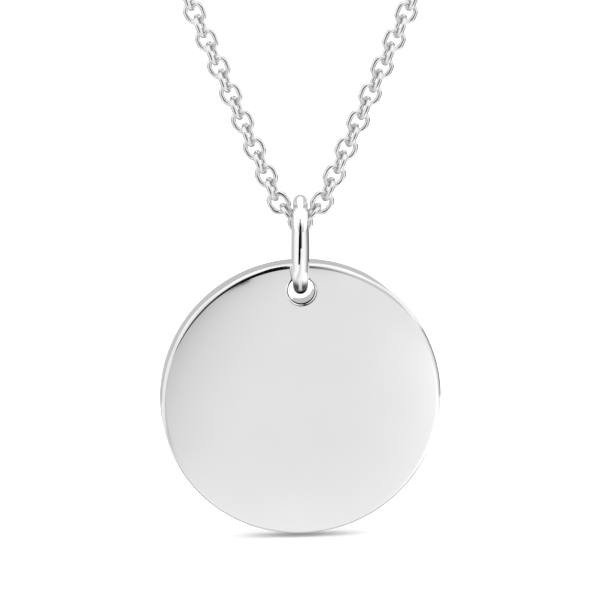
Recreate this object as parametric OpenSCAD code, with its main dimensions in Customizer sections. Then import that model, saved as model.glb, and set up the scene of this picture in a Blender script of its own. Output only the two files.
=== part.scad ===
// Disc pendant: a plain round disc on an oval bail, worn on a fine link chain.
// Millimetres. +Z is up and the disc faces -Y, a little turned. The origin is the middle of the neck,
// level with the place where the chain crosses the neck's sides.

/* [Disc] */
// Diameter of the disc
disc_d = 20; // [16:0.5:26]
// Thickness of the disc
disc_t = 1.74; // [1.4:0.02:1.9]
// Radius of the disc's rounded edge
edge_round = 0.28; // [0.1:0.02:0.5]
// Diameter of the hole that the bail passes through
hole_d = 1.88; // [1.7:0.02:2.4]
// Radius of the hole's rounded edges
hole_round = 0.2; // [0.1:0.02:0.3]
// Middle of the hole to the top of the disc
hole_inset = 2; // [1.8:0.05:2.6]
// Turn of the hanging disc about the upright, within the hole's play
disc_turn = 5; // [0:0.5:6]

/* [Bail] */
// Wire diameter of the bail at its two bends
bail_wire = 1.06; // [0.8:0.02:1.2]
// Wire diameter of the bail half way down its sides, where it is thickest
bail_mid = 1.32; // [1.2:0.02:1.4]
// Height of the bail over its wire
bail_h = 7.18; // [6.6:0.02:9]
// Depth of the bail over the wire of its bends, front to back
bail_depth = 4.66; // [4.5:0.02:5.4]
// Clearance between the bail and the link it hangs on
bail_gap = 0.06; // [0.03:0.01:0.15]
// Clearance between the bail and the hole's edge that rests on it
seat_gap = 0.03; // [0.02:0.01:0.1]

/* [Chain] */
// Wire diameter of a link
link_wire = 0.38; // [0.3:0.01:0.42]
// Width of a link over its wire
link_w = 1.66; // [1.62:0.01:1.9]
// Middle of one link to the middle of the next
link_pitch = 1.07; // [1.02:0.01:1.15]
// Clearance between two links
link_gap = 0.115; // [0.1:0.005:0.15]
// Separate links on each side of the middle one
links_a_side = 18; // [10:2:20]
// Turn of the links about the chain, away from flat
link_roll = 14; // [0:1:45]
// Angle of the chain's front from upright
leg_angle = 23.1; // [20:0.1:28]
// Angle of the first cross link from level
first_rise = 45; // [42:1:60]

/* [Clasp] */
// Outer diameter of the closed clasp ring
clasp_d = 5.6; // [4.5:0.1:8]
// Wire diameter of the clasp ring
clasp_wire = 1.1; // [0.8:0.05:1.5]
// Outer diameter of each soldered eye
eye_d = 2.6; // [2.3:0.1:3.2]
// Wire diameter of each eye
eye_wire = 0.5; // [0.4:0.05:0.6]

/* [Place on the neck] */
// Middle link, forward of the neck's middle
front_reach = 54; // [50:1:60]
// Middle link, below the place where the chain crosses the neck's sides
front_drop = 93; // [90:1:96]

/* [Hidden] */
$fn = 48;

// Link: half length and half width along the middle of its wire, and the run between its round ends.
link_half_w = (link_w - link_wire) / 2;
link_half_l = (link_pitch + link_wire + link_gap) / 2;
link_half_run = link_half_l - link_half_w;
// A link's end bend pulls on the next link's, from this far past the bend's middle.
link_hook = link_half_w - link_wire - link_gap;

// Bail: half sizes along the middle of its wire. Its ends are half circles.
bail_half_h = (bail_h - bail_wire) / 2;
bail_half_d = (bail_depth - bail_wire) / 2;
bail_half_run = bail_half_h - bail_half_d;
bail_in_r = bail_half_d - bail_wire / 2;

// Heights, from the middle link down to the disc.
middle_at = [0, -front_reach, -front_drop];
middle_top_z = middle_at.z + link_half_w;
bail_z = middle_top_z + link_wire / 2 + bail_gap + bail_wire / 2 - bail_half_h;
bail_bend_z = bail_z - bail_half_run;
// The hole's two rounded upper edges rest inside the bail's lower bend.
edge_y = disc_t / 2 - hole_round;
edge_reach = bail_in_r - seat_gap - hole_round;
edge_z = bail_bend_z - sqrt(edge_reach * edge_reach - edge_y * edge_y);
hole_z = edge_z - hole_round - hole_d / 2;
disc_z = hole_z + hole_inset - disc_d / 2;

// Angle of each link from level: the middle one, the first cross link, a face link half way, then the leg.
leg_rise = 90 - leg_angle;
rises = [
    for (i = [0:links_a_side])
        i == 0 ? 0 : i == 1 ? first_rise : i == 2 ? (first_rise + leg_rise) / 2 : leg_rise
];
// Turn of each link about the chain, growing from the flat middle link over the first few.
roll_ramp = 3;
rolls = [for (i = [0:links_a_side]) link_roll * min(1, i / roll_ramp)];

function is_cross(i) = i % 2 == 1;
function way(rise) = [cos(rise), 0, sin(rise)];
// Half the distance that a link covers between the bends where it pulls on its neighbours.
function half_step(i) = is_cross(i) ? link_hook + link_half_l : link_half_run;
// Where link i's step ends: the steps of all links before it, added up.
function step_end(i) =
    i == 0 ? middle_at + half_step(0) * way(rises[0])
           : step_end(i - 1) + 2 * half_step(i) * way(rises[i]);
function link_middle(i) = i == 0 ? middle_at : step_end(i) - half_step(i) * way(rises[i]);

// The chain past the separate links: a tube as wide as a link, swept along this route.
// The route's points are chosen by hand: up the leg, over the collar, round the side, to the nape.
chain_route = [
    [15, -54, -60],
    [21, -54, -46],
    [27.5, -52.5, -31.5],
    [35.5, -47, -19.5],
    [43.5, -36.5, -10],
    [49.5, -23, -4.5],
    [53.5, -8, -0.5],
    [54, 7.5, 3],
    [50, 22, 7],
    [42, 35, 10.5],
    [31, 45, 13.5],
    [18, 52, 15.5]
];
nape_at = [0, 54.5, 16];
tube_sides = 8;
rings_a_span = 3;

last = links_a_side;
route_start = link_middle(last) + (link_half_l + link_wire / 2 + link_gap) * way(leg_rise);
eye_x = clasp_d / 2 + eye_d / 2 - eye_wire;
route_end = nape_at + [eye_x + eye_d / 2 + link_gap, 0, 0];
route = concat([route_start], chain_route, [route_end]);
// One more point past each end, so that the curve leaves straight.
guides = concat(
    [2 * route[0] - route[1]],
    route,
    [route_end - [eye_d, 0, 0]]
);

function unit(v) = v / norm(v);
// A Catmull-Rom curve through the route's points: the place at t, and its direction.
function curve_at(a, b, c, d, t) =
    (2 * b + (c - a) * t + (2 * a - 5 * b + 4 * c - d) * t * t
     + (3 * b - a - 3 * c + d) * t * t * t) / 2;
function curve_way(a, b, c, d, t) =
    unit((c - a) + 2 * (2 * a - 5 * b + 4 * c - d) * t + 3 * (3 * b - a - 3 * c + d) * t * t);

stations = [
    for (i = [0:len(route) - 2])
        for (k = [0:rings_a_span - 1])
            [i, k / rings_a_span],
    [len(route) - 2, 1]
];
function station_at(s) =
    curve_at(guides[s[0]], guides[s[0] + 1], guides[s[0] + 2], guides[s[0] + 3], s[1]);
function station_way(s) =
    curve_way(guides[s[0]], guides[s[0] + 1], guides[s[0] + 2], guides[s[0] + 3], s[1]);
function ring_points(s) =
    let (w = station_way(s), side = unit(cross(w, [0, 0, 1])), up = cross(side, w))
    [
        for (j = [0:tube_sides - 1])
            let (a = 360 * j / tube_sides)
            station_at(s) + link_w / 2 * (cos(a) * side + sin(a) * up)
    ];

// A closed oval of round wire in the XZ plane, long along X: two half rings and two bars.
// The bars are straight, or where mid is given they swell from the wire at their ends to mid.
module oval_ring(half_run, end_r, wire, mid = 0) {
    for (side = [-1, 1])
        translate([side * half_run, 0, 0])
            rotate([90, side * 90, 0])
                rotate_extrude(angle = 180)
                    translate([end_r, 0])
                        circle(d = wire);
    for (side = [-1, 1])
        translate([0, 0, side * end_r])
            if (mid > wire) {
                for (turn = [90, -90])
                    rotate([0, turn, 0])
                        cylinder(d1 = mid, d2 = wire, h = half_run);
            } else {
                rotate([0, 90, 0])
                    cylinder(d = wire, h = 2 * half_run, center = true);
            }
}

// One link in its place: turned about its length, then tilted up the chain.
module chain_link(i) {
    translate(link_middle(i))
        rotate([0, -rises[i], 0])
            rotate([is_cross(i) ? 90 + rolls[i] : rolls[i], 0, 0])
                oval_ring(link_half_run, link_half_w, link_wire);
}

module side_links() {
    for (i = [1:links_a_side])
        chain_link(i);
}

module side_tube() {
    rings = len(stations);
    polyhedron(
        points = [for (s = stations) each ring_points(s)],
        faces = concat(
            [[for (j = [0:tube_sides - 1]) j]],
            [
                for (i = [0:rings - 2])
                    for (j = [0:tube_sides - 1])
                        let (n = (j + 1) % tube_sides)
                        [i * tube_sides + j, (i + 1) * tube_sides + j,
                         (i + 1) * tube_sides + n, i * tube_sides + n]
            ],
            [[for (j = [tube_sides - 1:-1:0]) (rings - 1) * tube_sides + j]]
        )
    );
}

// Half section of a round plate, from its axis to a rounded edge.
module plate_section(r, t, edge) {
    translate([0, -t / 2])
        square([r - edge, t]);
    translate([0, -t / 2 + edge])
        square([r, t - 2 * edge]);
    for (side = [-1, 1])
        translate([r - edge, side * (t / 2 - edge)])
            circle(r = edge);
}

// Half section of the metal beside the hole, rounded towards the hole.
module hole_edge_section() {
    translate([hole_d / 2, -edge_y])
        square([hole_round, 2 * edge_y]);
    intersection() {
        translate([hole_d / 2, -disc_t / 2])
            square([hole_round, disc_t]);
        for (side = [-1, 1])
            translate([hole_d / 2 + hole_round, side * edge_y])
                circle(r = hole_round);
    }
}

module disc() {
    color([0.86, 0.86, 0.87])
        translate([0, -front_reach, 0])
            rotate([90, 0, disc_turn]) {
                difference() {
                    translate([0, disc_z, 0])
                        rotate_extrude()
                            plate_section(disc_d / 2, disc_t, edge_round);
                    translate([0, hole_z, 0])
                        cylinder(d = hole_d + 2 * hole_round, h = 2 * disc_t, center = true);
                }
                translate([0, hole_z, 0])
                    rotate_extrude()
                        hole_edge_section();
            }
}

module bail() {
    color([0.88, 0.88, 0.89])
        translate([0, -front_reach, bail_z])
            rotate([0, 0, 90])
                rotate([0, 90, 0])
                    oval_ring(bail_half_run, bail_half_d, bail_wire, bail_mid);
}

module middle_link() {
    color([0.8, 0.8, 0.82])
        chain_link(0);
}

module links_right() {
    color([0.8, 0.8, 0.82])
        side_links();
}

module links_left() {
    color([0.8, 0.8, 0.82])
        mirror([1, 0, 0])
            side_links();
}

module chain_right() {
    color([0.76, 0.76, 0.78])
        side_tube();
}

module chain_left() {
    color([0.76, 0.76, 0.78])
        mirror([1, 0, 0])
            side_tube();
}

// The fastened clasp at the nape: a closed ring with an eye soldered on each side.
module clasp() {
    color([0.82, 0.82, 0.84])
        translate(nape_at) {
            rotate([90, 90, 0])
                rotate_extrude()
                    translate([(clasp_d - clasp_wire) / 2, 0])
                        circle(d = clasp_wire);
            for (side = [-1, 1])
                translate([side * eye_x, 0, 0])
                    rotate([0, 0, 90])
                        rotate_extrude()
                            translate([(eye_d - eye_wire) / 2, 0])
                                circle(d = eye_wire);
        }
}

disc();
bail();
middle_link();
links_left();
links_right();
chain_left();
chain_right();
clasp();
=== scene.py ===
# %% [markdown]
# # A disc pendant on a fine chain
#
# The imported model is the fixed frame: it says where the disc, the bail, the links and the clasp are.
# This notebook dresses it. Polished metal shows every flat facet, so each piece is made again here as a
# smooth surface worked out with numpy, on the same sizes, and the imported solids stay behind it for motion.
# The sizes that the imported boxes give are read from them, so that each piece stays where its solid is.

# %% Load the frame
import math

import bpy
import numpy as np
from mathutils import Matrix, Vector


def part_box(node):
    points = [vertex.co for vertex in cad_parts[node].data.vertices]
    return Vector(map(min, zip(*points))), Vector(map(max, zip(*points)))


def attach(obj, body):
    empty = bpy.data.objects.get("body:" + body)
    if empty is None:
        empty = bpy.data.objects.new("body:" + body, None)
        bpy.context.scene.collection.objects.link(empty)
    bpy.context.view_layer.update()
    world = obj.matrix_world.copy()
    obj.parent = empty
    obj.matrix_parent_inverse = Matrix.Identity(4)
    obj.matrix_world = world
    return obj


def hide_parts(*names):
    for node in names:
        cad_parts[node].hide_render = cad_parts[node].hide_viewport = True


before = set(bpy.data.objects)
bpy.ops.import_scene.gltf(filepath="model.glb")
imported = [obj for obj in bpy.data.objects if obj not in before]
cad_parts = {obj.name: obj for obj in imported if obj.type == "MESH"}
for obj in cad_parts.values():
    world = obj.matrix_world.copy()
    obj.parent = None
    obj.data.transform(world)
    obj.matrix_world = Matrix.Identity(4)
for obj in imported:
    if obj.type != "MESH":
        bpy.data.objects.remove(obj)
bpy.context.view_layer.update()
MM = 0.001


def node_box(name):
    """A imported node's lowest corner, its highest corner, and its middle, half their sum."""
    low, high = (np.array(corner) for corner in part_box(name))
    return low, high, (low + high) / 2


disc_lo, disc_hi, disc_at = node_box("disc")
bail_lo, bail_hi, bail_at = node_box("bail")
link_lo, link_hi, link_at = node_box("middle_link")
clasp_lo, clasp_hi, _ = node_box("clasp")
print("disc", round((disc_hi[2] - disc_lo[2]) / MM, 2), "mm across, one of", len(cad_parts), "nodes")

# %% [markdown]
# The camera looks straight at the bail from 15 degrees above, through a long lens. The disc hangs turned 5
# degrees to the right, so its upper and left rim show as a thin band. The camera is aimed so that the bail
# falls just right of the middle of the picture and 55.7 pixels above it.

# %% Camera
FRAME_PX = 600
PX_PER_MM = 14.1
VIEW_AZ = math.radians(0)
VIEW_EL = math.radians(15)
VIEW_FAR = 0.5
BAIL_PX = (300.4, 244.3)
SENSOR_MM = 36.0

toward = np.array([
    math.sin(VIEW_AZ) * math.cos(VIEW_EL),
    -math.cos(VIEW_AZ) * math.cos(VIEW_EL),
    math.sin(VIEW_EL),
])
camera_right = np.array([math.cos(VIEW_AZ), math.sin(VIEW_AZ), 0.0])
camera_up = np.cross(toward, camera_right)
off_right = (FRAME_PX / 2 - BAIL_PX[0]) / PX_PER_MM * MM
off_up = (BAIL_PX[1] - FRAME_PX / 2) / PX_PER_MM * MM
aim = bail_at + off_right * camera_right + off_up * camera_up

camera_data = bpy.data.cameras.new("camera")
camera_data.sensor_width = SENSOR_MM
camera_data.lens = SENSOR_MM * VIEW_FAR / (FRAME_PX / PX_PER_MM * MM)
camera_data.clip_start = 0.01
camera_data.clip_end = 20.0
camera = bpy.data.objects.new("camera", camera_data)
bpy.context.scene.collection.objects.link(camera)
camera_matrix = np.eye(4)
camera_matrix[:3, 0] = camera_right
camera_matrix[:3, 1] = camera_up
camera_matrix[:3, 2] = toward
camera_matrix[:3, 3] = aim + VIEW_FAR * toward
camera.matrix_world = camera_matrix.T.tolist()
bpy.context.scene.camera = camera
bpy.context.scene.view_settings.view_transform = "Standard"
print("lens", round(camera_data.lens), "mm")

# %% [markdown]
# Every piece is one or more closed grids: rows run round the piece, columns run round its section, and
# both wrap. One helper turns such grids into a mesh with `foreach_set`, with smooth shading.

# %% Grids to meshes
def closed_grid_faces(rows, cols, copies):
    """Corner numbers of the four-sided faces of closed grids: point (i, j) joins (i+1, j), (i+1, j+1)
    and (i, j+1), each counted round, and each further copy starts rows times cols points later."""
    i, j = np.meshgrid(np.arange(rows), np.arange(cols), indexing="ij")
    i_next = (i + 1) % rows
    j_next = (j + 1) % cols
    quads = np.stack([i * cols + j, i_next * cols + j, i_next * cols + j_next, i * cols + j_next], axis=-1)
    starts = np.arange(copies)[:, None, None] * rows * cols
    return quads.reshape(1, -1, 4) + starts


def grid_piece(name, points, body, solid):
    """One object from an array of closed grids, shaped (copies, rows, cols, 3), riding on its body in
    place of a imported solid."""
    copies, rows, cols, _ = points.shape
    faces = closed_grid_faces(rows, cols, copies).reshape(-1, 4)
    mesh = bpy.data.meshes.new(name)
    mesh.vertices.add(copies * rows * cols)
    mesh.vertices.foreach_set("co", points.astype(np.float32).ravel())
    mesh.loops.add(faces.size)
    mesh.loops.foreach_set("vertex_index", faces.astype(np.int32).ravel())
    mesh.polygons.add(len(faces))
    mesh.polygons.foreach_set("loop_start", np.arange(0, faces.size, 4, dtype=np.int32))
    mesh.update(calc_edges=True)
    mesh.validate()
    mesh.polygons.foreach_set("use_smooth", np.ones(len(faces), dtype=bool))
    piece = bpy.data.objects.new(name, mesh)
    bpy.context.scene.collection.objects.link(piece)
    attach(piece, body)
    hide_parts(solid)
    print(name, "has", len(faces), "faces")
    return piece


print("two closed grids of 3 by 4 points have", closed_grid_faces(3, 4, 2)[..., 0].size, "faces")

# %% [markdown]
# The disc is stamped from sheet and buffed. A disc with one hole is a ring, so one closed grid covers it:
# each row is a turn about the hole and the rim together, and each column is one circle of the section.
# The section runs out over the front face, round the rim, back over the rear face and through the hole.
# A lathe or a bevelled cylinder would leave the hole to be cut, with a seam that shows in a mirror.

# %% Disc section
DISC_T = 1.74 * MM
EDGE_REACH = 0.34 * MM
EDGE_DROP = 0.22 * MM
HOLE_ROUND = 0.2 * MM
FACE_RINGS = 30
RIM_STEPS = 16
HOLE_STEPS = 8


def quarter(steps):
    """Angles from 0 to 90 degrees, in equal steps."""
    return np.linspace(0, np.pi / 2, steps + 1)


def disc_section():
    """Columns of the disc's section as (share, out, depth): share 0 is the hole's circle and 1 the rim's,
    out is added to the circle's radius, and depth is the distance in front of the disc's middle."""
    half = DISC_T / 2
    spread = (1 - np.cos(np.pi * np.linspace(0, 1, FACE_RINGS))) / 2
    front = np.stack([spread, np.zeros(FACE_RINGS), np.full(FACE_RINGS, half)], axis=1)
    turn = quarter(RIM_STEPS)[1:]
    rim = np.stack([np.ones(RIM_STEPS), EDGE_REACH * np.sin(turn),
                    half - EDGE_DROP + EDGE_DROP * np.cos(turn)], axis=1)
    turn = quarter(HOLE_STEPS)[:0:-1]
    hole = np.stack([np.zeros(HOLE_STEPS), -HOLE_ROUND * np.sin(turn),
                     half - HOLE_ROUND + HOLE_ROUND * np.cos(turn)], axis=1)
    flip = np.array([1, 1, -1])
    return np.concatenate([front, rim, (rim * flip)[::-1], (front * flip)[::-1], (hole * flip)[::-1], hole])


section = disc_section()
print("the disc's section has", len(section), "points")

# %% [markdown]
# Buffing leaves the faces very slightly domed towards the rim, which is what shades them near the edge.
# The disc is worked out straight and then turned on the bail, as it hangs, by one function that the studio
# uses too.

# %% Disc
DISC_TURN = math.radians(5)
DISC_SIDE = np.array([math.cos(DISC_TURN), math.sin(DISC_TURN), 0.0])
DISC_BACK = np.array([-math.sin(DISC_TURN), math.cos(DISC_TURN), 0.0])
DISC_ROWS = 288
HOLE_R = 0.94 * MM
HOLE_INSET = 2.0 * MM
ROLL_OFF = 0.045 * MM
ROLL_POWER = 8
disc_r = (disc_hi[2] - disc_lo[2]) / 2


def hung(points):
    """Points given for a straight disc, turned with it about the upright: middle + x side + y back + z up."""
    x, y, z = np.moveaxis(points - disc_at, -1, 0)
    turned = disc_at + x[..., None] * DISC_SIDE + y[..., None] * DISC_BACK
    turned[..., 2] += z
    return turned


def disc_surface():
    """Each circle of the section is blended between the hole's circle and the rim's by its share, turned
    through all rows, and pushed in from the face by the roll-off times the eighth power of rho over R."""
    turn = np.linspace(0, 2 * np.pi, DISC_ROWS, endpoint=False)[:, None]
    share, out, depth = (section[None, :, k] for k in range(3))
    flat_r = (1 - share) * (HOLE_R + HOLE_ROUND) + share * (disc_r - EDGE_REACH) + out
    middle_z = (1 - share) * (disc_hi[2] - HOLE_INSET) + share * disc_at[2]
    x = flat_r * np.sin(turn)
    z = middle_z + flat_r * np.cos(turn)
    rho = np.hypot(x, z - disc_at[2]) / disc_r
    y = disc_at[1] - depth + np.sign(depth) * ROLL_OFF * np.minimum(rho, 1) ** ROLL_POWER
    return hung(np.stack([disc_at[0] + x, y, z], axis=-1))[None]


disc_piece = grid_piece("disc_plate", disc_surface(), "pendant", "disc")

# %% [markdown]
# Every link is the same form: round wire bent to an oval with half-round ends. One function makes them all,
# so they differ only in size, place and fineness, and a second one sets copies of a ring on their places.

# %% Oval wire rings
def oval_ring(half_run, end_r, wire_r, rows, cols):
    """A closed oval of wire along the first axis: row angle a gives the wire's middle, the end circle's
    point (r cos a, r sin a) moved out by the straight run, and column angle b circles round the wire."""
    a = (np.arange(rows) + 0.5) * 2 * np.pi / rows
    b = np.arange(cols) * 2 * np.pi / cols
    out = np.stack([np.cos(a), np.sin(a)], axis=1)
    middle = out * end_r + np.stack([np.sign(np.cos(a)) * half_run, np.zeros(rows)], axis=1)
    along = middle[:, None, 0] + wire_r * np.cos(b) * out[:, None, 0]
    across = middle[:, None, 1] + wire_r * np.cos(b) * out[:, None, 1]
    through = np.broadcast_to(wire_r * np.sin(b), along.shape)
    return np.stack([along, across, through], axis=-1)


def placed(ring, middles, alongs, acrosses):
    """Copies of a ring: each point is the copy's middle plus its coordinates times the copy's axes."""
    throughs = np.cross(alongs, acrosses)
    axes = np.stack([alongs, acrosses, throughs], axis=1)
    return middles[:, None, None, :] + np.einsum("rck,nkd->nrcd", ring, axes)


X_AXIS, Y_AXIS, Z_AXIS = np.eye(3)
test_ring = oval_ring(1, 2, 0.5, 360, 4)
print("a ring of half run 1, end radius 2 and wire 0.5 reaches", round(float(test_ring.max()), 2))

# %% [markdown]
# The bail is an oval ring too, standing front to back through the disc's hole and over the chain. Its wire
# is hammered out thicker half way down the sides than at the bends, so it has a function of its own, with
# rows along the straight sides for the swelling to run smoothly.

# %% Bail
BAIL_WIRE = 1.06 * MM
BEND_ROWS = 60
SIDE_ROWS = 40
BAIL_COLS = 40
bail_mid = bail_hi[0] - bail_lo[0]


def swelled_ring(half_run, end_r, wire_r, swell):
    """A closed oval of wire: row angle a circles the two bends and waits at a quarter turn on the straight
    sides. The wire's radius is wire_r + swell (1 - (height / half height)^2)^1.5."""
    bend = np.linspace(-np.pi / 2, np.pi / 2, BEND_ROWS)
    side = np.linspace(1, -1, SIDE_ROWS + 2)[1:-1]
    still = np.full(SIDE_ROWS, np.pi / 2)
    a = np.concatenate([bend, still, bend + np.pi, still + np.pi])
    shift = np.concatenate([np.ones(BEND_ROWS), side, -np.ones(BEND_ROWS), -side])
    b = np.arange(BAIL_COLS) * 2 * np.pi / BAIL_COLS
    out = np.stack([np.cos(a), np.sin(a)], axis=1)
    middle = out * end_r + np.stack([shift * half_run, np.zeros(len(a))], axis=1)
    height = middle[:, :1] / (half_run + end_r)
    radius = wire_r + swell * np.clip(1 - height**2, 0, 1) ** 1.5
    along = middle[:, :1] + radius * np.cos(b) * out[:, :1]
    across = middle[:, 1:] + radius * np.cos(b) * out[:, 1:]
    return np.stack([along, across, radius * np.sin(b)], axis=-1)


bail_half_d = (bail_hi[1] - bail_lo[1] - bail_mid) / 2
bail_half_h = (bail_hi[2] - bail_lo[2] - BAIL_WIRE) / 2
bail_ring = swelled_ring(bail_half_h - bail_half_d, bail_half_d, BAIL_WIRE / 2, (bail_mid - BAIL_WIRE) / 2)
bail_points = placed(bail_ring, bail_at[None], Z_AXIS[None], Y_AXIS[None])
bail_piece = grid_piece("bail_ring", bail_points, "bail", "bail")

# %% [markdown]
# The chain's links pull on each other inside their end bends. Between the middles of those bends a face
# link is a short strut and a cross link a longer one, so the links' places are a running sum of struts.
# The middle link lies flat inside the bail, the next few turn up, and the rest climb straight. The solids
# leave a gap of 0.115 mm where two links touch; here the links are a little longer and nearly meet.

# %% Places of the front links
LINKS_A_SIDE = 18
LINK_PITCH = 1.07 * MM
LINK_GAP = 0.03 * MM
SOLID_GAP = 0.115 * MM
LEG_RISE = math.radians(66.9)
FIRST_RISE = math.radians(45)

link_wire = link_hi[1] - link_lo[1]
half_w = (link_hi[2] - link_lo[2] - link_wire) / 2
solid_half_l = (LINK_PITCH + link_wire + SOLID_GAP) / 2
half_l = (LINK_PITCH + link_wire + LINK_GAP) / 2

number = np.arange(LINKS_A_SIDE + 1)
is_cross = number % 2 == 1
rise = np.full(len(number), LEG_RISE)
rise[:3] = [0, FIRST_RISE, (FIRST_RISE + LEG_RISE) / 2]
strut = np.where(is_cross, solid_half_l + half_w - link_wire - SOLID_GAP, solid_half_l - half_w)
link_along = np.stack([np.cos(rise), np.zeros(len(number)), np.sin(rise)], axis=1)
strut_ends = np.cumsum(np.where(number == 0, 1, 2)[:, None] * strut[:, None] * link_along, axis=0)
link_middles = link_at + strut_ends - strut[:, None] * link_along
print("links of", round(link_wire / MM, 2), "mm wire, one each", round(LINK_PITCH / MM, 2), "mm")

# %% [markdown]
# A face link shows its opening to the viewer and a cross link its edge. The whole leg is rolled 14 degrees
# about its own length, reached over the first three links, so that the cross links show a little of their
# openings too. The left leg mirrors the right one.

# %% Front links
LINK_ROLL = math.radians(14)
ROLL_RAMP = 3
FRONT_ROWS = 36
FRONT_COLS = 16
MIRROR = np.array([-1.0, 1.0, 1.0])


def roll_axes(alongs, inward, rolls, cross):
    """Each link's side direction. A face link's is inward, turned towards the viewer by its roll; a cross
    link's is a quarter turn further. Inward is square to the chain, on the neck's side."""
    near = np.cross(alongs, inward)
    turn = rolls + np.where(cross, np.pi / 2, 0)
    return np.cos(turn)[:, None] * inward + np.sin(turn)[:, None] * near


def mirrored(points):
    """The same grids on the other side of X = 0, with each row run backwards so that faces look out."""
    return points[:, ::-1] * MIRROR


link_inward = np.stack([-np.sin(rise), np.zeros(len(number)), np.cos(rise)], axis=1)
front_roll = LINK_ROLL * np.minimum(1, number / ROLL_RAMP)
link_across = roll_axes(link_along, link_inward, front_roll, is_cross)
front_ring = oval_ring(half_l - half_w, half_w, link_wire / 2, FRONT_ROWS, FRONT_COLS)
right_points = placed(front_ring, link_middles, link_along, link_across)
middle_piece = grid_piece("middle_link_wire", right_points[:1], "chain", "middle_link")
right_piece = grid_piece("links_right_wire", right_points[1:], "chain", "links_right")
left_piece = grid_piece("links_left_wire", mirrored(right_points[1:]), "chain", "links_left")

# %% [markdown]
# Past the separate links the chain runs over the collar, round the side of the neck and to the nape. The
# route repeats the points that were given for the solid, and a Catmull-Rom curve runs through
# them to an eye at the clasp's side.

# %% Route of the chain
CHAIN_ROUTE = np.array([
    [15, -54, -60],
    [21, -54, -46],
    [27.5, -52.5, -31.5],
    [35.5, -47, -19.5],
    [43.5, -36.5, -10],
    [49.5, -23, -4.5],
    [53.5, -8, -0.5],
    [54, 7.5, 3],
    [50, 22, 7],
    [42, 35, 10.5],
    [31, 45, 13.5],
    [18, 52, 15.5],
]) * MM
NAPE_AT = np.array([0, 54.5, 16]) * MM
EYE_D = 2.6 * MM
EYE_WIRE = 0.5 * MM
CURVE_STEPS = 40
clasp_d = clasp_hi[2] - clasp_lo[2]
eye_x = clasp_d / 2 + EYE_D / 2 - EYE_WIRE

route_start = link_middles[-1] + (solid_half_l + link_wire / 2 + SOLID_GAP) * link_along[-1]
route_end = NAPE_AT + np.array([eye_x + EYE_D / 2 + SOLID_GAP, 0, 0])
route = np.concatenate([[route_start], CHAIN_ROUTE, [route_end]])
guides = np.concatenate([[2 * route[0] - route[1]], route, [route_end - [EYE_D, 0, 0]]])


def curve_points(guides, steps):
    """Points of a Catmull-Rom curve: in each span, half of 2b + (c-a)t + (2a-5b+4c-d)t^2 + (3b-a-3c+d)t^3."""
    a, b, c, d = (guides[k:len(guides) - 3 + k, None] for k in range(4))
    t = (np.arange(steps) / steps)[None, :, None]
    spans = (2 * b + (c - a) * t + (2 * a - 5 * b + 4 * c - d) * t**2 + (3 * b - a - 3 * c + d) * t**3) / 2
    return np.concatenate([spans.reshape(-1, 3), guides[-2:-1]])


curve = np.concatenate([link_middles[-1:], curve_points(guides, CURVE_STEPS)])
print("the curve has", len(curve), "points")

# %% [markdown]
# The last link hooks the far side of the clasp's eye, so the curve is cut off there. Links stand on the
# rest at an even pitch, as in the front. The whole loop is two of these legs and about 10 mm of clasp.

# %% Places of the hidden links
CLASP_LENGTH_MM = 10
hook_at = NAPE_AT + np.array([eye_x + (EYE_D - EYE_WIRE) / 2, 0, 0])
last_middle = hook_at + np.array([half_l - (EYE_WIRE + link_wire) / 2 - LINK_GAP, 0, 0])
in_front = curve[:, 1] < 0
before_hook = ~in_front & (curve[:, 0] > last_middle[0])
path = np.concatenate([curve[in_front], curve[before_hook], [last_middle]])
travel = np.concatenate([[0], np.cumsum(np.linalg.norm(np.diff(path, axis=0), axis=1))])
side_links = round(travel[-1] / LINK_PITCH)
leg_length = travel[-1] + np.linalg.norm(link_middles[-1] - link_at)
print("hidden chain:", side_links, "links a side; whole loop about",
      round(2 * leg_length / MM + CLASP_LENGTH_MM), "mm")

# %% [markdown]
# A chain's twist is spread evenly. The side direction is carried along the path without turning, and then
# a small turn per link is added so that the last link stands square in the clasp's eye. There are hundreds
# of these links, so each has only a few dozen faces.

# %% Hidden links
HIDDEN_ROWS = 14
HIDDEN_COLS = 6


def carried(directions, start):
    """The start direction carried along a path: at each step, the part along the path is taken away."""
    sides = [start]
    for direction in directions[1:]:
        side = sides[-1] - direction * (sides[-1] @ direction)
        sides.append(side / np.linalg.norm(side))
    return np.array(sides)


def at_travel(distance, values):
    """Values given at the path's points, read between them at each distance travelled."""
    return np.stack([np.interp(distance, travel, values[:, k]) for k in range(values.shape[1])], axis=1)


stations = np.linspace(0, travel[-1], side_links + 1)
heading = at_travel(stations + LINK_PITCH / 2, path) - at_travel(stations - LINK_PITCH / 2, path)
hidden_along = heading / np.linalg.norm(heading, axis=1)[:, None]
hidden_inward = carried(hidden_along, link_inward[-1])
hidden_cross = (LINKS_A_SIDE + np.arange(side_links + 1)) % 2 == 1
free = roll_axes(hidden_along, hidden_inward, np.full(side_links + 1, LINK_ROLL), hidden_cross)[-1]
turn_to_up = math.atan2(np.cross(free, Z_AXIS) @ hidden_along[-1], free @ Z_AXIS)
smallest_turn = (turn_to_up + math.pi / 2) % math.pi - math.pi / 2
hidden_roll = LINK_ROLL + smallest_turn * np.linspace(0, 1, side_links + 1)
hidden_across = roll_axes(hidden_along, hidden_inward, hidden_roll, hidden_cross)
small_ring = oval_ring(half_l - half_w, half_w, link_wire / 2, HIDDEN_ROWS, HIDDEN_COLS)
hidden_points = placed(small_ring, at_travel(stations, path), hidden_along, hidden_across)[1:]
chain_right = grid_piece("chain_right_links", hidden_points, "chain", "chain_right")
chain_left = grid_piece("chain_left_links", mirrored(hidden_points), "chain", "chain_left")

# %% [markdown]
# The clasp at the nape is fastened and hidden, so it is plain: a ring of thick wire with a small eye
# soldered on each side, in which the last links sit. A round ring is an oval one with no straight run.

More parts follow.
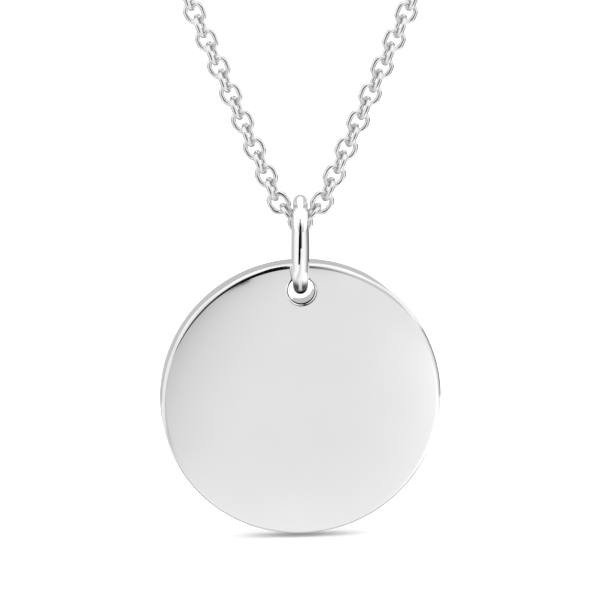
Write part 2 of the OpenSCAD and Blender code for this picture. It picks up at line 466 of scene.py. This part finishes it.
# %% Clasp
CLASP_WIRE = 1.1 * MM
CLASP_ROWS = 64
CLASP_COLS = 16


def round_ring(middle, outer_d, wire, first, second):
    """A round ring of wire on two axes: the oval's end circle, of half the outer width less the wire."""
    ring = oval_ring(0, (outer_d - wire) / 2, wire / 2, CLASP_ROWS, CLASP_COLS)
    return placed(ring, middle[None], first[None], second[None])


eye_shift = np.array([eye_x, 0, 0])
clasp_rings = [
    round_ring(NAPE_AT, clasp_d, CLASP_WIRE, X_AXIS, Z_AXIS),
    round_ring(NAPE_AT - eye_shift, EYE_D, EYE_WIRE, X_AXIS, Y_AXIS),
    round_ring(NAPE_AT + eye_shift, EYE_D, EYE_WIRE, X_AXIS, Y_AXIS),
]
clasp_piece = grid_piece("clasp_rings", np.concatenate(clasp_rings), "chain", "clasp")

# %% [markdown]
# Materials are trees of shader nodes. One helper makes a node, sets its properties, and then fills its
# sockets: a plain value is set on the socket, and another node's output is linked to it.

# %% Shader nodes
def node(tree, kind, place, sockets=None, **settings):
    """A node at a place in the editor, with its properties set and its input sockets filled or linked."""
    made = tree.nodes.new(kind)
    made.location = place
    for key, value in settings.items():
        setattr(made, key, value)
    for key, value in (sockets or {}).items():
        if isinstance(value, bpy.types.NodeSocket):
            tree.links.new(value, made.inputs[key])
        else:
            made.inputs[key].default_value = value
    return made


def math_node(tree, operation, place, *values):
    """The output of one step of arithmetic on outputs or numbers."""
    return node(tree, "ShaderNodeMath", place, dict(enumerate(values)), operation=operation).outputs[0]


def map_range(tree, place, value, start, stop, low=0.0, high=1.0, shape="LINEAR"):
    """An output carried from the range start to stop onto the range low to high."""
    sockets = {"Value": value, "From Min": start, "From Max": stop, "To Min": low, "To Max": high}
    made = node(tree, "ShaderNodeMapRange", place, sockets, interpolation_type=shape)
    return made.outputs["Result"]


print("node helpers ready for Blender", bpy.app.version_string)

# %% [markdown]
# Polished metal is never a perfect mirror. The cloth leaves hairlines in many directions, and handling
# leaves patches that are a little duller. Hairlines are noise stretched long in one direction and kept
# where it is strongest; two of them cross. Dull patches are a slow noise. The ends say at which values of
# the noise a mark starts and is full.

# %% Hairlines and dull patches
HAIRLINE_TURNS = (38, -52)
HAIRLINE_STRETCH = (120, 900, 9000)
HAIRLINE_ENDS = (0.62, 0.78)
PATCH_SCALE = 260.0
PATCH_ENDS = (0.4, 0.75)


def hairlines(tree, place):
    """A height that is 1 in a hairline: two noises, one along each diagonal, and the stronger one counts."""
    lines = []
    for k, angle in enumerate(HAIRLINE_TURNS):
        turned = node(tree, "ShaderNodeMapping", (-900, -250 - 300 * k), {
            "Vector": place,
            "Rotation": (0, math.radians(angle), 0),
            "Scale": HAIRLINE_STRETCH,
        })
        noise = node(tree, "ShaderNodeTexNoise", (-700, -250 - 300 * k), {
            "Vector": turned.outputs["Vector"],
            "Scale": 1.0,
            "Detail": 3.0,
        })
        lines.append(map_range(tree, (-500, -250 - 300 * k), noise.outputs["Fac"], *HAIRLINE_ENDS))
    return math_node(tree, "MAXIMUM", (-300, -400), *lines)


def dull_patches(tree, place):
    """A share from 0 to 1 that rises slowly to the middle of each dull patch."""
    slow = node(tree, "ShaderNodeTexNoise", (-700, 200), {
        "Vector": place,
        "Scale": PATCH_SCALE,
        "Detail": 4.0,
    })
    return map_range(tree, (-500, 200), slow.outputs["Fac"], *PATCH_ENDS)


print("hairlines lie at", HAIRLINE_TURNS, "degrees; patches are about", round(1000 / PATCH_SCALE), "mm")

# %% [markdown]
# Every silver has the same marks in its own strength, so they are one node group, built once. It puts out a
# colour, a roughness and a bump height, and its inputs say how strong each mark is.

# %% Polish group
GROUP_INPUTS = (
    ("Silver", "NodeSocketColor", (0.8, 0.8, 0.8, 1)),
    ("Clouding", "NodeSocketFloat", 0.03),
    ("Gloss Roughness", "NodeSocketFloat", 0.05),
    ("Patch Roughness", "NodeSocketFloat", 0.05),
    ("Hairlines", "NodeSocketFloat", 0.5),
)
GROUP_OUTPUTS = (
    ("Color", "NodeSocketColor"),
    ("Roughness", "NodeSocketFloat"),
    ("Height", "NodeSocketFloat"),
)
HAIRLINE_ROUGHNESS = 0.08


def polish_group():
    """Roughness is gloss + patch share times patch roughness + hairline times 0.08; the colour is the
    silver, darkened by patch share times clouding; the height is the hairlines' own."""
    group = bpy.data.node_groups.new("polish_marks", "ShaderNodeTree")
    for name, kind, value in GROUP_INPUTS:
        socket = group.interface.new_socket(name=name, in_out="INPUT", socket_type=kind)
        socket.default_value = value
    for name, kind in GROUP_OUTPUTS:
        group.interface.new_socket(name=name, in_out="OUTPUT", socket_type=kind)
    given = node(group, "NodeGroupInput", (-900, 0)).outputs
    place = node(group, "ShaderNodeTexCoord", (-1100, -300)).outputs["Object"]

    marks = math_node(group, "MULTIPLY", (-100, -400), hairlines(group, place), given["Hairlines"])
    patch = dull_patches(group, place)
    patch_rough, gloss = given["Patch Roughness"], given["Gloss Roughness"]
    rough = math_node(group, "MULTIPLY_ADD", (-250, 150), patch, patch_rough, gloss)
    lined = math_node(group, "MULTIPLY_ADD", (50, 100), marks, HAIRLINE_ROUGHNESS, rough)
    shade = math_node(group, "MULTIPLY", (-250, 400), patch, given["Clouding"])
    clouded = node(group, "ShaderNodeMix", (50, 400), {
        "Factor": shade,
        "A": given["Silver"],
        "B": (0, 0, 0, 1),
    }, data_type="RGBA")
    node(group, "NodeGroupOutput", (700, 0), {
        "Color": clouded.outputs["Result"],
        "Roughness": lined,
        "Height": marks,
    })
    return group


polish = polish_group()
print("the polish group has", len(polish.nodes), "nodes")

# %% [markdown]
# Four finishes share the group. The disc is plated and buffed flat, so its grey is a shade deeper and its
# hairlines finer; the wire of the bail is the brightest; the chain's links are tumbled, not buffed, and a
# little softer; the clasp is plain.

# %% Silver finishes
BUMP_STRENGTH = 0.3
COOL_TINT = 1.004


def silver(name, grey, gloss, patch, clouding, hairline, bump):
    """A metal of one grey, with the polish group's marks feeding colour, roughness and a shallow bump."""
    material = bpy.data.materials.new(name)
    material.use_nodes = True
    tree = material.node_tree
    shader = tree.nodes["Principled BSDF"]
    shader.inputs["Metallic"].default_value = 1.0
    marks = node(tree, "ShaderNodeGroup", (-500, 100), {
        "Silver": (grey, grey, grey * COOL_TINT, 1),
        "Gloss Roughness": gloss,
        "Patch Roughness": patch,
        "Clouding": clouding,
        "Hairlines": hairline,
    }, node_tree=polish)
    raised = node(tree, "ShaderNodeBump", (-250, -200), {
        "Strength": BUMP_STRENGTH,
        "Distance": bump,
        "Height": marks.outputs["Height"],
    })
    tree.links.new(marks.outputs["Color"], shader.inputs["Base Color"])
    tree.links.new(marks.outputs["Roughness"], shader.inputs["Roughness"])
    tree.links.new(raised.outputs["Normal"], shader.inputs["Normal"])
    return material


plated = silver("plated_disc", grey=0.80, gloss=0.06, patch=0.04, clouding=0.02, hairline=0.25, bump=0.4e-6)
bright = silver("bright_wire", grey=0.92, gloss=0.03, patch=0.03, clouding=0.02, hairline=0.2, bump=0.3e-6)
tumbled = silver("tumbled_links", grey=0.74, gloss=0.07, patch=0.06, clouding=0.05, hairline=0.3, bump=0.5e-6)
plain = silver("plain_clasp", grey=0.86, gloss=0.08, patch=0.06, clouding=0.04, hairline=0.4, bump=0.5e-6)
print("silvers:", plated.name, bright.name, tumbled.name, plain.name)

# %% [markdown]
# The bail's foot sits in the disc's hole, and the dark reflection it shows there is painted into its colour
# as shade from the sole up, apart from a strip down its middle that is left bright as a painted glint. The
# height and the distance from the middle come from Object coordinates, so the painted shade stays on the
# metal when it moves.

# %% Painted shade on the bail's foot
# The bail's foot is painted darker as shade, with a brighter strip down its middle as a painted glint.
FOOT_RISE = 1.7 * MM
FOOT_FULL = 0.55
SOLE_RISE = 0.9 * MM
SOLE_FULL = 0.5
GLINT_HALF = (0.06 * MM, 0.17 * MM)
GLINT_SHARE = (0.35, 0.97)
FOOT_SHADE_COLOUR = (0.02, 0.02, 0.02, 1)


def paint_foot_shade(material, foot_z, middle_x):
    """Painted shade from the foot up: smooth from full, low on the foot, to none FOOT_RISE above it. It is
    weaker on the strip down the middle, left as a painted glint, apart from the sole itself."""
    tree = material.node_tree
    shader = tree.nodes["Principled BSDF"]
    place = node(tree, "ShaderNodeTexCoord", (-1300, 500)).outputs["Object"]
    apart = node(tree, "ShaderNodeSeparateXYZ", (-1100, 500), {"Vector": place}).outputs
    foot_ends = foot_z + FOOT_RISE, foot_z + FOOT_FULL * FOOT_RISE
    sole_ends = foot_z + SOLE_RISE, foot_z + SOLE_FULL * SOLE_RISE
    low = map_range(tree, (-900, 600), apart["Z"], *foot_ends, shape="SMOOTHSTEP")
    sole = map_range(tree, (-900, 850), apart["Z"], *sole_ends, shape="SMOOTHSTEP")
    off = math_node(tree, "SUBTRACT", (-900, 350), apart["X"], middle_x)
    wide = math_node(tree, "ABSOLUTE", (-700, 350), off)
    # A strip down the middle keeps less of the painted shade: a painted glint.
    kept = map_range(tree, (-500, 400), wide, *GLINT_HALF, *GLINT_SHARE, shape="SMOOTHSTEP")
    either = math_node(tree, "MAXIMUM", (-500, 700), sole, kept)
    share = math_node(tree, "MULTIPLY", (-300, 500), low, either)
    shaded_foot = node(tree, "ShaderNodeMix", (-100, 500), {
        "Factor": share,
        "A": shader.inputs["Base Color"].links[0].from_socket,
        "B": FOOT_SHADE_COLOUR,
    }, data_type="RGBA")
    tree.links.new(shaded_foot.outputs["Result"], shader.inputs["Base Color"])


# Paints shade on the bail's foot, with a painted glint down its middle.
paint_foot_shade(bright, bail_lo[2], bail_at[0])
print("painted_shade up to", round(FOOT_RISE / MM, 1), "mm above the bail's foot")

# %% [markdown]
# Each new piece takes one finish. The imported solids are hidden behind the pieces, but they get the same
# finishes, so that nothing in the model is left without one.

# %% Finishes on the pieces
finishes = {
    disc_piece: plated,
    bail_piece: bright,
    middle_piece: tumbled,
    right_piece: tumbled,
    left_piece: tumbled,
    chain_right: tumbled,
    chain_left: tumbled,
    clasp_piece: plain,
}
for piece, finish in finishes.items():
    piece.data.materials.append(finish)
solid_finishes = {"disc": plated, "bail": bright, "clasp": plain}
for name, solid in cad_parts.items():
    finish = solid_finishes.get(name, tumbled)
    if not solid.material_slots:
        solid.data.materials.append(finish)
    for held in solid.material_slots:
        held.material = finish
print(len(finishes), "pieces have a finish")

# %% [markdown]
# The stage is a wide pale table just under the disc, so that the disc nearly touches its own shadow. It is
# lit a little past white, so that only the deep shadow at the foot of the disc shows.

# %% Table
FLOOR_GAP = 0.3 * MM
TABLE_HALF = 5.0
TABLE_GREY = 0.9
floor_z = disc_lo[2] - FLOOR_GAP


def stage_grid(name, points, material):
    """An open grid of the studio, shaped (rows, columns, 3)."""
    rows, cols, _ = points.shape
    i, j = np.meshgrid(np.arange(rows - 1), np.arange(cols - 1), indexing="ij")
    corner = i * cols + j
    faces = np.stack([corner, corner + cols, corner + cols + 1, corner + 1], axis=-1).reshape(-1, 4)
    mesh = bpy.data.meshes.new(name)
    mesh.from_pydata(points.reshape(-1, 3).tolist(), [], faces.tolist())
    sheet = bpy.data.objects.new(name, mesh)
    mesh.materials.append(material)
    bpy.context.scene.collection.objects.link(sheet)
    return sheet


def matt_paint(name, grey):
    """A plain matt paint, for the table."""
    material = bpy.data.materials.new(name)
    material.use_nodes = True
    shader = material.node_tree.nodes["Principled BSDF"]
    shader.inputs["Base Color"].default_value = (grey, grey, grey, 1)
    shader.inputs["Roughness"].default_value = 0.9
    shader.inputs["Specular IOR Level"].default_value = 0.0
    return material


def level_grid(xs, ys, z):
    """A level grid at a height, from its places along X and Y."""
    x, y = np.meshgrid(xs, ys, indexing="ij")
    return np.stack([x, y, np.full_like(x, z)], axis=-1)


table_sides = [-TABLE_HALF, TABLE_HALF]
stage_grid("table", level_grid(table_sides, table_sides, floor_z), matt_paint("table_white", TABLE_GREY))
print("table", round(FLOOR_GAP / MM, 2), "mm under the disc")

# %% [markdown]
# Polished metal shows what stands round it, so a jeweller's photographer works with sheets of paper: white
# ones for the broad shine, and small black ones for the dark lines that give the metal its edge. Here each
# sheet is a grid with its own brightness at every point. Only mirrors see them.

# %% Paper sheets
def paper_material():
    """Paper that gives off the brightness kept in the sheet's own attribute."""
    material = bpy.data.materials.new("studio_paper")
    material.use_nodes = True
    tree = material.node_tree
    tree.nodes.remove(tree.nodes["Principled BSDF"])
    kept = node(tree, "ShaderNodeAttribute", (-300, 0), attribute_name="brightness")
    light = node(tree, "ShaderNodeEmission", (0, 0), {"Strength": kept.outputs["Fac"]})
    tree.links.new(light.outputs["Emission"], tree.nodes["Material Output"].inputs["Surface"])
    material.cycles.emission_sampling = "NONE"
    return material


paper = paper_material()


def paper_sheet(name, points, brightness):
    """A sheet of the studio with a brightness at each point."""
    sheet = stage_grid(name, points, paper)
    kept = sheet.data.attributes.new("brightness", "FLOAT", "POINT")
    kept.data.foreach_set("value", np.broadcast_to(brightness, points.shape[:2]).astype(np.float32).ravel())
    sheet.visible_camera = False
    sheet.visible_diffuse = False
    sheet.visible_shadow = False
    print(name, "brightness", float(np.min(brightness)), "to", float(np.max(brightness)))


def fade(value, start, stop):
    """0 before start, 1 after stop, and a smooth S between them: 3t^2 - 2t^3."""
    t = np.clip((value - start) / (stop - start), 0, 1)
    return t * t * (3 - 2 * t)


def mixed(first, second, share):
    """From the first value to the second by a share: first + (second - first) share."""
    return first + (second - first) * share


print("half way from 0 to 1 the fade is", fade(0.5, 0, 1), "and a quarter of the way", fade(0.25, 0, 1))

# %% [markdown]
# The disc's face mirrors the table in front of it: a point at height h shows the table 3.7 h away, so the
# sheet on the table is turned with the disc. It is a shade brighter close by and to the right, and greyer
# to the left and far off, and that fall of light is the soft shading of the disc. Behind the disc a grey
# strip tones its rim. Places are in millimetres to the right of the disc's middle and ahead of its face,
# and a pair of them says where a change starts and where it is complete.

# %% Light of the floor sheet
FACE_LIGHT = 0.96
OPEN_LIGHT = 1.05
LEFT_FALL = 0.26
LEFT_GROWTH = {"start": 3, "width": 11, "cap": 1.3, "power": 1.6}
LEFT_LEAN = 0.12
LEAN_FROM = 40
RIGHT_RISE = 0.24
RIGHT_GROWTH = {"start": 3, "width": 10.5, "cap": 1.4, "power": 1.7}
RIGHT_LOST = 0.9
RIGHT_FADES = (46, 68)
NEAR_RISE = 0.1
NEAR_REACH = 25
NEAR_POWER = 1.5
BESIDE_LEFT = (16, 30)
BESIDE_RIGHT = (20, 40)
FAR_AHEAD = (120, 160)


def grown(value, start, width, cap, power):
    """0 up to the start; past it the distance from the start over the width, up to the cap, to a power."""
    return np.clip((value - start) / width, 0, cap) ** power


def front_brightness(x, ahead):
    """Brightness ahead of the face: FACE_LIGHT less LEFT_FALL times leftness, plus RIGHT_RISE times
    rightness, most of it lost far off, plus NEAR_RISE close by; far out it turns to OPEN_LIGHT."""
    slant = x + ahead * math.tan(VIEW_AZ - DISC_TURN)
    leftness = grown(-slant + LEFT_LEAN * (ahead - LEAN_FROM), **LEFT_GROWTH)
    rightness = grown(slant, **RIGHT_GROWTH)
    right = RIGHT_RISE * rightness * (1 - RIGHT_LOST * fade(ahead, *RIGHT_FADES))
    near = NEAR_RISE * np.clip(1 - ahead / NEAR_REACH, 0, 1) ** NEAR_POWER
    face = FACE_LIGHT - LEFT_FALL * leftness + right + near
    beside = np.maximum(fade(-slant, *BESIDE_LEFT), fade(slant, *BESIDE_RIGHT))
    return mixed(face, OPEN_LIGHT, np.maximum(beside, fade(ahead, *FAR_AHEAD)))


for far in (10, 50, 100):
    print("light", far, "mm ahead:", round(float(front_brightness(0, far)), 2))

# %% [markdown]
# Two greyer places lie behind the disc. One, behind its left side, spreads as it goes back and tones the
# rim on the left. The other is a strip close behind the foot, which the rounded edge mirrors.

# %% Light behind the disc
RIM_LIGHT = 0.62
RIM_STARTS = (8, 11)
RIM_SPREAD = 0.6
RIM_FADE = 4
EDGE_LIGHT = 0.36
EDGE_NEAR = (-0.1, 0.3)
EDGE_FAR = (10, 60)
EDGE_BESIDE = (12, 18)


def back_brightness(x, ahead):
    """Brightness behind the face: OPEN_LIGHT, turned to RIM_LIGHT behind the disc's left side, with a far
    edge that fades out over RIM_FADE, and to EDGE_LIGHT on a strip close behind the foot."""
    from_far_edge = x + RIM_STARTS[1] - RIM_SPREAD * ahead
    behind_rim = fade(-x, *RIM_STARTS) * fade(from_far_edge, -RIM_FADE, 0)
    behind_foot = fade(-ahead, *EDGE_NEAR) * (1 - fade(-ahead, *EDGE_FAR))
    behind_edge = behind_foot * (1 - fade(np.abs(x), *EDGE_BESIDE))
    return mixed(mixed(OPEN_LIGHT, RIM_LIGHT, behind_rim), EDGE_LIGHT, behind_edge)


print("light 5 mm behind the disc:", round(float(back_brightness(0, -5)), 2))

# %% [markdown]
# The sheet is a level grid, fine near the disc and coarse far off, just above the table.

# %% Floor sheet
SHEET_LIFT = 0.05 * MM
FINE_HALF = 40
FINE_POINTS = 161
COARSE_SPAN = (44, 1000)
COARSE_POINTS = 24
face_y = disc_at[1] - DISC_T / 2
far_span = np.geomspace(*COARSE_SPAN, COARSE_POINTS)
span = np.concatenate([-far_span[::-1], np.linspace(-FINE_HALF, FINE_HALF, FINE_POINTS), far_span])
floor_points = hung(level_grid(disc_at[0] + span * MM, face_y - span * MM, floor_z + SHEET_LIFT))
right_mm, ahead_mm = np.meshgrid(span, span, indexing="ij")
front_light = front_brightness(right_mm, ahead_mm)
back_light = back_brightness(right_mm, ahead_mm)
floor_light = np.where(ahead_mm > 0, front_light, back_light)
paper_sheet("floor_sheet", floor_points, floor_light)

# %% [markdown]
# The upright papers stand on arcs round the bail, placed by bearing in degrees right of straight ahead. A
# small black one ahead draws the dark line inside the disc's upper edge. Long low ones on both sides grey
# the sides of the bail and of the rim. A black strip ahead draws the line down the bail's front. Where a
# light or an edge changes along a sheet, a table gives it.

# %% Upright sheets
AHEAD_FAR = 60
AHEAD_BEARINGS = (-26, 20)
AHEAD_HEIGHTS = (8.5, 62)
CORE_BEARINGS = (-6, 1)
CORE_TOP = 44
BLACK = 0.005
DARK_EDGE = 0.75


def arc_grid(bearings, columns, heights, rows):
    """Bearings and heights of a grid of paper, in equal steps between its ends along and up."""
    return np.meshgrid(np.linspace(*bearings, columns), np.linspace(*heights, rows), indexing="ij")


def ends(table):
    """The lowest and the highest bearing or height of a table."""
    return min(table), max(table)


def read_between(table, at):
    """A table of values by bearing or height, read in straight lines between its entries."""
    return np.interp(at, list(table), list(table.values()))


def arc_points(bearings, distance, heights):
    """Upright paper on an arc round the bail: bail + distance (sin b, -cos b), at the heights above the
    table. Bearings count from the disc's turn, distances and heights are in millimetres."""
    b = np.radians(bearings) + DISC_TURN
    x = bail_at[0] + distance * MM * np.sin(b)
    y = bail_at[1] - distance * MM * np.cos(b)
    return np.stack([x, y, floor_z + heights * MM], axis=-1)


b, h = arc_grid(AHEAD_BEARINGS, 47, AHEAD_HEIGHTS, 28)
left, right = AHEAD_BEARINGS
core_left, core_right = CORE_BEARINGS
core_across = fade(b, left, core_left) * (1 - fade(b, core_right, right))
core = core_across * (1 - fade(h, CORE_TOP, AHEAD_HEIGHTS[1]))
paper_sheet("ahead_black", arc_points(b, AHEAD_FAR, h), mixed(DARK_EDGE, BLACK, core))

# %% [markdown]
# The side papers fade along their bearing, from light ahead to grey beside the disc. The left one is a
# little lighter along its top, which the disc's upper rim mirrors.

# %% Side sheets
SIDE_FAR = 45
TABLE_EDGE = 0.1
RIGHT_TOP = 24
LEFT_TOP = 30
TOP_LIGHT_FROM = 20
RIGHT_LIGHT = {40: 1.07, 52: 1.0, 70: 0.69, 90: 0.36, 115: 0.10, 130: 0.25, 150: 1.0}
LEFT_LIGHT = {-168: 0.66, -150: 0.64, -120: 0.55, -100: 0.6, -76: 0.98, -34: 1.05}
LEFT_TOP_LIGHT = {-168: 0.62, -130: 0.7, -100: 1.1}

b, h = arc_grid(ends(RIGHT_LIGHT), 56, (TABLE_EDGE, RIGHT_TOP), 2)
paper_sheet("right_grey", arc_points(b, SIDE_FAR, h), read_between(RIGHT_LIGHT, b))

b, h = arc_grid(ends(LEFT_LIGHT), 68, (TABLE_EDGE, LEFT_TOP), 31)
top_share = fade(h, TOP_LIGHT_FROM, LEFT_TOP)
left_light = mixed(read_between(LEFT_LIGHT, b), read_between(LEFT_TOP_LIGHT, b), top_share)
paper_sheet("left_grey", arc_points(b, SIDE_FAR, h), left_light)

# %% [markdown]
# The black strip narrows upwards, and its right edge steps back at the foot. The disc's face mirrors what
# lies straight ahead and low, and there the strip would show in it.

# %% Black strip
STRIP_FAR = 40
STRIP_BLACK = 0.004
STRIP_LEFT = {8: -31, 13: -27, 20: -22, 42: -17, 66: -17}
STRIP_RIGHT = {8: -9, 9.5: -8, 10.5: -2}

width_share, h = arc_grid((0, 1), 21, ends(STRIP_LEFT), 117)
b = mixed(read_between(STRIP_LEFT, h), read_between(STRIP_RIGHT, h), width_share)
paper_sheet("line_black", arc_points(b, STRIP_FAR, h), STRIP_BLACK)

# %% [markdown]
# The sky of the studio is worked out from direction alone: bright overhead, at the sides and high up behind,
# softer low down ahead and behind. It also lights the table, where the disc's own shine fills its shadow, so
# that only a small dark spot is left at the foot. A lamp would cast a long thin shadow instead, so there is
# none. Each glow of the sky is one direction with a smooth edge round it, and the brightest glow counts.

# %% Glows of the sky
LOW_SKY = 0.62
TABLE_SKY = 1.6


def tilted_up(level, degrees):
    """A level direction tilted up: cos times the level direction plus sin times up."""
    return math.cos(math.radians(degrees)) * level + math.sin(math.radians(degrees)) * Z_AXIS


# Each glow is its middle, where it starts and is full as cosines of the angle from the middle, and its
# brightness before the start and at the full.
GLOWS = [
    (tilted_up(-DISC_BACK, 68), 0.42, 0.85, LOW_SKY, 1.25),
    (tilted_up(DISC_BACK, 55), 0.84, 0.91, 0.0, 1.2),
    (DISC_SIDE, 0.45, 0.75, 0.0, 1.15),
    (-DISC_SIDE, 0.45, 0.75, 0.0, 1.15),
]


def studio_sky():
    """The brightest of the glows at each direction; rays that light the table get more of it."""
    world = bpy.data.worlds.new("studio_sky")
    world.use_nodes = True
    tree = world.node_tree
    background = tree.nodes["Background"]
    place = node(tree, "ShaderNodeTexCoord", (-900, 0)).outputs["Generated"]
    brightest = None
    for k, (middle, start, full, low, high) in enumerate(GLOWS):
        sockets = {0: place, 1: tuple(middle)}
        facing = node(tree, "ShaderNodeVectorMath", (-700, 250 * k), sockets, operation="DOT_PRODUCT")
        levels = start, full, low, high
        glow = map_range(tree, (-500, 250 * k), facing.outputs["Value"], *levels, "SMOOTHSTEP")
        if brightest is None:
            brightest = glow
        else:
            brightest = math_node(tree, "MAXIMUM", (-300, 250 * k), brightest, glow)
    path = node(tree, "ShaderNodeLightPath", (-700, -250))
    share = map_range(tree, (-500, -250), path.outputs["Is Diffuse Ray"], 0.0, 1.0, 1.0, TABLE_SKY)
    product = math_node(tree, "MULTIPLY", (-100, 0), brightest, share)
    tree.links.new(product, background.inputs["Strength"])
    background.inputs["Color"].default_value = (1, 1, 1, 1)
    return world


bpy.context.scene.world = studio_sky()
print(len(GLOWS), "glows in the sky")
